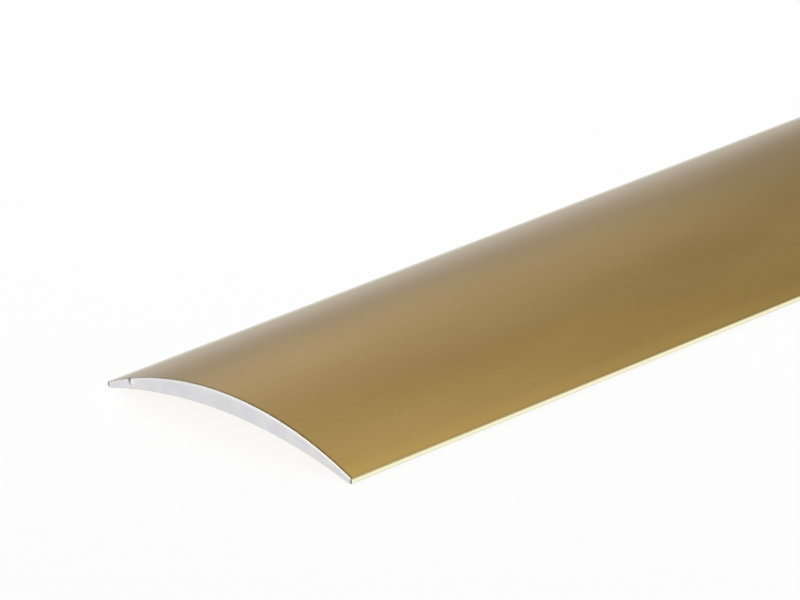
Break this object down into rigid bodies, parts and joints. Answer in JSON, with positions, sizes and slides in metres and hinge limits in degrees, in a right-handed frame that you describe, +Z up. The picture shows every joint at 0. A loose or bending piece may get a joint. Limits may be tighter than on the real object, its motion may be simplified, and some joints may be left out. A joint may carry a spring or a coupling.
{
  "type": "threshold strip",
  "caption": "Domed gold-anodised aluminium threshold strip with foam mounting tapes and pull-out release liners.",
  "frame": {"origin": "centre of the strip's footprint on the floor", "axes": "+Y along the strip, +Z up from the floor through the crown, +X across the doorway"},
  "size_m": [0.04, 0.9, 0.005],
  "materials": {
    "gold_anodised": "satin",
    "foam_tape": "matte",
    "release_liner": "satin"
  },
  "bodies": {
    "strip": {"profile_strip": "gold_anodised", "tape_left": "foam_tape", "tape_right": "foam_tape"},
    "liner_left": {"liner_left": "release_liner"},
    "liner_right": {"liner_right": "release_liner"}
  },
  "joints": [
    {"name": "liner_left_pull", "type": "slide", "parent": "strip", "child": "liner_left", "axis": [0, -1, 0], "range_m": [0, 0.9]},
    {"name": "liner_right_pull", "type": "slide", "parent": "strip", "child": "liner_right", "axis": [0, -1, 0], "range_m": [0, 0.9]}
  ]
}
